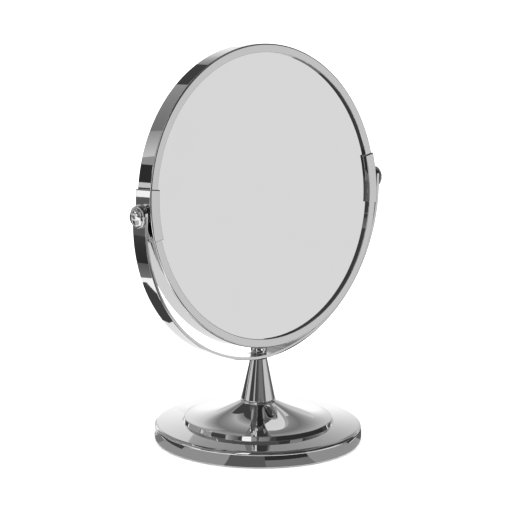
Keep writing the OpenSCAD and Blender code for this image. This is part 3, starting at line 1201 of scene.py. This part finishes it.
@dataclass(frozen=True)
class Card:
    """A card of the studio, bent round the object, that only reflections see.

    Args:
        name: Name of the card.
        tone: How bright it is.
        start: Azimuth of one end, in degrees from +X towards +Y.
        end: Azimuth of the other end.
        near: Radius and height of one long edge.
        far: Radius and height of the other long edge.
        second: The tone that it changes to, if it does.
        fade: Which way it changes.
    """

    name: str
    tone: Tone
    start: float
    end: float
    near: tuple[float, float]
    far: tuple[float, float]
    second: Union[Tone, None] = None
    fade: Fade = Fade.ALONG

    @classmethod
    def wall(
        cls, name: str, tone: Tone, start: float, end: float, bottom: float, top: float,
        radius: float = 2.5, second: Union[Tone, None] = None, fade: Fade = Fade.ALONG,
    ) -> "Card":
        """A card that stands upright."""
        return cls(name, tone, start, end, (radius, bottom), (radius, top), second, fade)

    @classmethod
    def mat(
        cls, name: str, tone: Tone, start: float, end: float, inner: float, outer: float,
        lift: float = 0.3, second: Union[Tone, None] = None, fade: Fade = Fade.ALONG,
    ) -> "Card":
        """A card that lies level, just above the floor unless a lift in millimetres is given."""
        return cls(name, tone, start, end, (inner, lift * MM), (outer, lift * MM), second, fade)

    @staticmethod
    def material() -> Material:
        """The glow of every card, which each point of a card sets for itself."""
        board = Board("card")
        glow = board.add("ShaderNodeAttribute", {"attribute_name": GLOW}, {})
        material = board.dress(
            base_color=(0, 0, 0, 1),
            specular_ior_level=0.0,
            emission_color=Wire(board, glow.outputs["Color"]),
            emission_strength=1.0,
        )
        material.cycles.emission_sampling = "NONE"
        return material

    def share(self, place: Vector) -> float:
        """How far a point is through the card's fade, from 0 to 1."""
        if self.fade is Fade.ALONG:
            angle = math.degrees(math.atan2(place.y, place.x))
            return ((angle - self.start + 180) % 360 - 180) / (self.end - self.start)
        near, far = Vector(self.near), Vector(self.far)
        return (Vector((place.xy.length, place.z)) - near).dot(far - near) / (far - near).length_squared

    def build(self, material: Material) -> Object:
        """Bends the card round the object and hides it from all but reflections."""
        spun = Matrix.Rotation(math.radians(self.start), 3, "Z")
        rows = FADE_ROWS if self.second and self.fade is Fade.ACROSS else 1
        near, far = (Vector((radius, 0, height)) for radius, height in (self.near, self.far))
        edge = [spun @ near.lerp(far, row / rows) for row in range(rows + 1)]
        card = Bench.trace(f"card_{self.name}", edge)
        Bench.edit(card)
        turn = math.radians(self.end - self.start)
        steps = max(4, math.ceil(turn / CARD_STEP))
        bpy.ops.mesh.spin(steps=steps, angle=-turn, center=(0, 0, 0), axis=(0, 0, 1))
        Bench.close(card)
        glow = card.data.attributes.new(GLOW, "FLOAT_COLOR", "POINT")
        second = (self.second or self.tone).value
        for vertex, value in zip(card.data.vertices, glow.data):
            share = max(0.0, min(1.0, self.share(vertex.co)))
            level = self.tone.value * (second / self.tone.value) ** share
            value.color = (level, level, level, 1)
        card.data.materials.append(material)
        card.visible_camera = False
        card.visible_shadow = False
        card.visible_diffuse = False
        return card


BLACK, DARK, DIM, GREY, MID, PALE, LIGHT, BRIGHT, WHITE = Tone
ALONG, ACROSS = Fade
# Name, tone, start, end, bottom, top, and where Card.wall's own don't serve: radius, second tone, fade
WALLS = [
    ("left_low", DARK, -182, -166, 0, 0.62),
    ("left_gap", PALE, -166, -156, 0, 0.62),
    ("front_left", DARK, -156, -130, 0, 0.82, 2.5, DIM),
    ("front_right", GREY, -130, -94, 0, 0.62),
    ("key_left_edge", DIM, -94, -80, 0, 0.5),
    ("key", LIGHT, -80, -35, 0, 0.34),
    ("key_fade", LIGHT, -35, -16, 0, 0.12, 2.5, GREY),
    ("left_high", PALE, -183, -163, 0.62, 1.6, 2.5, DIM),
    ("left_high_dark", DARK, -163, -157, 0.62, 1.6),
    ("window", WHITE, -157, -143, 0.82, 5.0),
    ("front_band", DARK, -143, -104, 0.62, 0.97),
    ("front_stripe", MID, -143, -104, 0.97, 1.06, 2.5, GREY),
    ("front_high", DIM, -143, -104, 1.06, 1.4, 2.5, GREY, ACROSS),
    ("hood_left", BLACK, -104, -80, 0.5, 1.4),
    ("hood", BLACK, -80, -35, 0.34, 1.4),
    ("hood_right", BLACK, -35, -18, 0.12, 1.4),
    ("hood_end", DARK, -18, -5, 0, 1.4),
    ("right_grey", GREY, -5, 14, 0.1, 3.3, 2.5, PALE),
    ("front_top", DARK, -143, -30, 1.4, 4.4),
    ("front_glow", MID, -60, -28, 2.8, 3.8, 2.4),
    ("lip_gap", DARK, -134.5, -131, 0.95, 1.07, 2.4),
    ("clip_low", BLACK, -121, -117, 0.17, 0.35, 2.4),
    ("clip_high", BLACK, -121, -117, 0.44, 0.62, 2.4),
    ("left_top", MID, -222, -157, 1.6, 4.4, 2.5, DIM, ACROSS),
    ("right_top", DIM, -30, 14, 1.4, 4.4, 2.6, MID),
    ("back_core", WHITE, 12, 84, 0, 0.486),
    ("back_horizon", WHITE, 12, 52, 0.486, 0.96, 2.5, PALE, ACROSS),
    ("back_horizon_side", WHITE, 52, 84, 0.486, 1.11, 2.5, LIGHT, ACROSS),
    ("back_left", PALE, 14, 38, 0, 0.9, 2.4, LIGHT),
    ("back_right", LIGHT, 60, 72, 0, 0.9, 2.4),
    ("back_fall", PALE, 12, 52, 0.96, 1.5, 2.5, GREY, ACROSS),
    ("back_fall_side", LIGHT, 52, 84, 1.11, 1.6, 2.5, GREY, ACROSS),
    ("back_rise", GREY, 12, 84, 1.5, 2.5, 2.5, PALE, ACROSS),
    ("back_high", PALE, 12, 84, 2.5, 3.3, 2.5, GREY, ACROSS),
    ("back_top", DARK, -5, 138, 3.3, 4.4),
    ("back_streak", LIGHT, 16, 29, 1.7, 2.15, 2.4),
    ("back_grey", MID, 84, 134, 0.02, 0.95),
    ("side_grey", MID, 134, 152, 0.35, 0.75),
    ("side_high_dark", DARK, 152, 177, 0.55, 0.95),
    ("side_high", MID, 84, 177, 0.95, 3.3, 2.6, GREY),
    ("side", LIGHT, 134, 163, 0, 0.35),
    ("side_end", GREY, 163, 169, 0, 0.55, 2.5, DARK),
    ("side_dark", DARK, 169, 178, 0, 0.55),
    ("rear_grey", MID, 84, 117, 0.55, 1.15, 1.2, GREY),
    ("rear_pale", MID, 117, 126.5, 0.43, 0.8, 1.2, LIGHT),
    ("rear_dark", BLACK, 124, 137, 0.25, 0.43, 1.2),
    ("rear_pale_low", LIGHT, 124, 137, 0.2, 0.25, 1.2),
    ("rear_line", DARK, 130, 137, 0.17, 0.2, 1.2),
    ("rear_light", WHITE, 130, 137, 0.105, 0.17, 1.2),
    ("rear_foot", DIM, 130, 137, 0, 0.105, 1.2),
    ("rear_flag", DARK, 69, 88, 0.5, 0.9, 0.6),
]
# Name, tone, start, end, inner, outer, and where Card.mat's own don't serve: lift, second tone, fade
MATS = [
    ("ceiling", DIM, -180, 180, 0.0, 2.6, 4400),
    ("white_mat", WHITE, -180, 180, 0.0635, 11.0, 0.1),
    ("key_mat", LIGHT, -75, -36, 0.14, 2.5),
    ("key_mat_grey", GREY, -76, -60, 0.42, 0.75, 0.6),
    ("front_mat", DARK, -125, -76, 0.2, 0.5),
    ("front_mat_edge", DARK, -76, -64, 0.27, 0.42, 0.6),
    ("lip_mat_near", GREY, -64, -57, 0.3, 0.48, 0.6),
    ("lip_mat_far", GREY, -57, -51, 0.42, 0.7, 0.6),
    ("far_mat", BLACK, -158, -100, 0.3, 8.0, 0.2),
    ("fade_mat", LIGHT, -36, -16, 0.2, 2.5, 0.3, GREY),
    ("right_mat", DIM, -16, 2, 0.12, 2.5),
    ("right_mat_edge", DIM, 2, 15, 0.12, 2.5, 0.3, LIGHT),
    ("back_mat", WHITE, 64, 90, 0.13, 1.3, 0.3, DIM),
    ("back_mat_dim", DIM, 90, 97, 0.14, 1.3),
    ("back_mat_dark", DARK, 97, 122, 0.17, 1.3),
    ("back_mat_grey", MID, 84, 122, 1.3, 2.5),
    ("back_mat_far", DARK, 122, 134, 0.8, 2.5, 0.3, MID),
    ("side_mat", LIGHT, 134, 139, 0.8, 2.5),
    ("yoke_mat_light", BRIGHT, 55, 137, 0.0635, 0.12),
    ("yoke_mat_near", DARK, 119, 136, 0.105, 0.195, 0.6),
    ("yoke_mat_mid", GREY, 128, 146, 0.21, 0.27, 0.3, DIM, ACROSS),
    ("yoke_mat_far", BLACK, 128, 146, 0.27, 0.5, 0.3, DARK, ACROSS),
    ("yoke_mat_end", DIM, 128, 146, 0.5, 0.8),
    ("shade_left", DARK, 128, 172, 0.075, 0.145, 0.6),
    ("shade_right", BLACK, -60, -18, 0.0745, 0.125, 0.6),
    ("shade_right_far", BLACK, -42, -18, 0.125, 0.2, 0.6),
    ("nut_mat", DARK, -150, -72, 0.125, 0.2),
    ("knob_mat", PALE, 147, 178, 0.2, 0.5),
    ("ring_a", MID, -180, -152, 0.0635, 0.09),
    ("ring_b", DIM, -152, -128, 0.0635, 0.09),
    ("ring_c", GREY, -128, -98, 0.0635, 0.078),
    ("ring_d", BLACK, -128, -98, 0.078, 0.09),
    ("ring_e", MID, -98, -58, 0.0635, 0.09),
    ("ring_f", MID, -58, -45, 0.0635, 0.0745),
    ("ring_g", DIM, -45, -20, 0.0635, 0.0745),
    ("ring_h", GREY, 130, 150, 0.0635, 0.075),
    ("ring_i", MID, 150, 180, 0.0635, 0.09),
]


@dataclass
class Studio:
    """The room: an even white light, a pale floor, cards that the chrome reflects, and the camera.

    Args:
        azimuth: Where the camera stands round the object, in degrees: 0 looks along +Y.
        elevation: How high it stands, in degrees.
        distance: How far it is from the pivots.
        pan: How far it looks to the side of the pivots, in degrees.
        tilt: How far it looks down, in degrees.
        roll: How far it is rolled, in degrees.
        lens: Focal length in millimetres on a 36 mm sensor.
        light: Brightness of the room.
    """

    pivot_height: float
    azimuth: float = -42.859
    elevation: float = 11.654
    distance: float = 1.5748
    pan: float = 0.107
    tilt: float = 12.933
    roll: float = 0.631
    lens: float = 187.56
    light: float = 2.0

    def build(self) -> None:
        """Sets up the room, the cards and the camera."""
        self.build_room()
        material = Card.material()
        for card in [Card.wall(*row) for row in WALLS] + [Card.mat(*row) for row in MATS]:
            card.build(material)
        self.build_camera()
        bpy.context.scene.view_settings.view_transform = "Standard"

    def build_camera(self) -> None:
        """The camera, level but for a slight roll."""
        turn, rise = math.radians(self.azimuth), math.radians(self.elevation)
        back = Vector((math.sin(turn) * math.cos(rise), -math.cos(turn) * math.cos(rise), math.sin(rise)))
        aim, down = math.radians(self.azimuth + self.pan), math.radians(self.tilt)
        towards = Vector((-math.sin(aim) * math.cos(down), math.cos(aim) * math.cos(down), -math.sin(down)))
        right = towards.cross(Vector((0, 0, 1))).normalized()
        up = right.cross(towards)
        roll = math.radians(self.roll)
        side, top = right * math.cos(roll) + up * math.sin(roll), up * math.cos(roll) - right * math.sin(roll)
        bpy.ops.object.camera_add()
        camera = bpy.context.active_object
        camera.name = "camera"
        matrix = Matrix((side, top, -towards)).transposed().to_4x4()
        matrix.translation = Vector((0, 0, self.pivot_height)) + back * self.distance
        camera.matrix_world = matrix
        camera.data.lens = self.lens
        camera.data.sensor_width = 36
        bpy.context.scene.camera = camera

    def build_room(self) -> None:
        """An evenly lit white room with a matt floor."""
        world = bpy.data.worlds.new("room")
        world.use_nodes = True
        background = world.node_tree.nodes["Background"]
        background.inputs["Color"].default_value = (1, 1, 1, 1)
        background.inputs["Strength"].default_value = self.light
        bpy.context.scene.world = world
        bpy.ops.object.select_all(action="DESELECT")
        bpy.ops.mesh.primitive_circle_add(vertices=96, radius=12, fill_type="NGON")
        floor = Bench.named("floor")
        pale, shade = (0.95, 0.95, 0.95), (0.94, 0.94, 0.94)
        floor.data.materials.append(Moulded("pale_floor", pale, shade, 0.7, 2 * MM, 1e-5).material())


def main() -> None:
    """Builds the mirror and its room."""
    logging.basicConfig(level=logging.INFO, format="%(message)s")
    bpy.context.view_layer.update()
    pivot_height = sum(corner.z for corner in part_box("left_pivot_screw")) / 2
    shelf = Shelf()
    assemblies = [
        Base(shelf, "stand"),
        Stem(shelf, "stand"),
        Yoke(shelf, "swivel_yoke", pivot_height=pivot_height),
        Head(shelf, "head", pivot_height=pivot_height),
        Thumbscrew(shelf, "left_thumbscrew", side=Side.LEFT, pivot_height=pivot_height),
        Thumbscrew(shelf, "right_thumbscrew", side=Side.RIGHT, pivot_height=pivot_height),
    ]
    for assembly in assemblies:
        assembly.build()
        for piece in assembly.pieces:
            LOG.info("%s: %s, %d faces", type(assembly).__name__, piece.name, len(piece.data.polygons))
    Studio(pivot_height).build()


if __name__ == "__main__":
    main()
